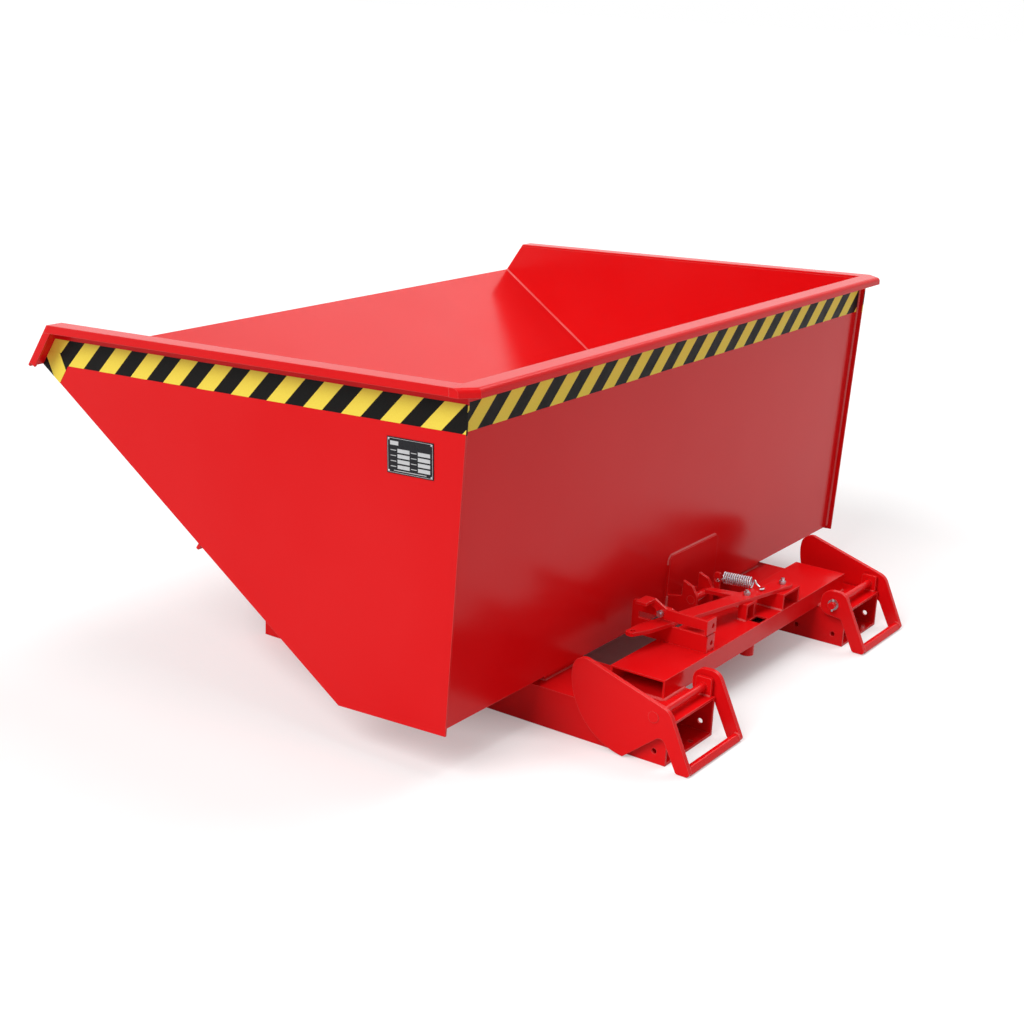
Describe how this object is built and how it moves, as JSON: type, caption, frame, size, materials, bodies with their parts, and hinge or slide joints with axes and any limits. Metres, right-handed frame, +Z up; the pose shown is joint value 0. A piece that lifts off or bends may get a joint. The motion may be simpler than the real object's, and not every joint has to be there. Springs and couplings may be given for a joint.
{
  "type": "forklift tipping skip",
  "caption": "Sheet-steel tipping skip on two fork tubes, with a hinged tub, a sprung latch lever, a safety catch and slip-off locks at the fork mouths.",
  "frame": {"origin": "centre of the bounding box's bottom face, on the floor between the fork tubes", "axes": "+Z up, +X along the tub's width to the left of someone facing the rear wall, -Y towards the tipping lip and +Y towards the fork mouths"},
  "size_m": [1.668, 1.3529, 0.731],
  "materials": {
    "red_paint": "gloss",
    "zinc": "satin",
    "spring_steel": "satin",
    "plate_dark": "satin"
  },
  "bodies": {
    "base": {"fork_tube_left": "red_paint", "fork_tube_right": "red_paint", "rear_cross_tube": "red_paint", "front_cross_tube": "red_paint", "tub_rest_left": "red_paint", "tub_rest_right": "red_paint", "hinge_bracket_left": "red_paint", "hinge_bracket_right": "red_paint", "hinge_pin_left": "zinc", "hinge_pin_right": "zinc", "hinge_keepers_left": "zinc", "hinge_keepers_right": "zinc", "lock_lugs_left": "red_paint", "lock_lugs_right": "red_paint", "lever_pivot_bracket": "red_paint", "lever_pivot_bolt": "zinc", "lever_pivot_nut": "zinc", "lever_post": "red_paint", "post_foot": "red_paint", "lever_guide": "red_paint", "catch_bolt": "zinc", "catch_nut": "zinc", "spring_lug": "red_paint", "return_spring": "spring_steel"},
    "tub": {"floor_sheet": "red_paint", "rear_wall": "red_paint", "side_panel_left": "red_paint", "side_panel_right": "red_paint", "side_rim_left": "red_paint", "side_rim_right": "red_paint", "front_flange_left": "red_paint", "front_flange_right": "red_paint", "rear_rim": "red_paint", "lip_bar": "red_paint", "slope_rib_left": "red_paint", "slope_rib_right": "red_paint", "catch_doubler": "red_paint", "catch_cheek_left": "red_paint", "catch_cheek_right": "red_paint", "catch_pin": "red_paint", "name_plate": "plate_dark", "hinge_ear_left": "red_paint", "hinge_ear_right": "red_paint"},
    "latch": {"latch_lever": "red_paint", "lever_stop_bolt": "zinc", "spring_stud": "zinc"},
    "catch": {"safety_catch": "red_paint"},
    "lock_left": {"lock_fan_left": "red_paint", "lock_leg_left": "red_paint", "lock_bar_left": "red_paint", "lock_pin_left": "zinc", "lock_keeper_left": "zinc"},
    "lock_right": {"lock_fan_right": "red_paint", "lock_leg_right": "red_paint", "lock_bar_right": "red_paint", "lock_pin_right": "zinc", "lock_keeper_right": "zinc"}
  },
  "joints": [
    {"name": "tub_tip", "type": "hinge", "parent": "base", "child": "tub", "pos_m": [0, -0.3014, 0.31751], "axis": [1, 0, 0], "range_deg": [0, 78]},
    {"name": "latch_swing", "type": "hinge", "parent": "base", "child": "latch", "pos_m": [-0.156, 0.5266, 0.16], "axis": [0, 0, 1], "range_deg": [-5.5, 8], "stiffness_Nm_per_rad": 2, "deforming": ["return_spring"]},
    {"name": "catch_lift", "type": "hinge", "parent": "base", "child": "catch", "pos_m": [0.2093, 0.4406, 0.18], "axis": [1, 0, 0], "range_deg": [0, 25]},
    {"name": "lock_left_swing", "type": "hinge", "parent": "base", "child": "lock_left", "pos_m": [0.388, 0.5946, 0.098], "axis": [1, 0, 0], "range_deg": [0, 35]},
    {"name": "lock_right_swing", "type": "hinge", "parent": "base", "child": "lock_right", "pos_m": [-0.388, 0.5946, 0.098], "axis": [1, 0, 0], "range_deg": [0, 35]}
  ]
}
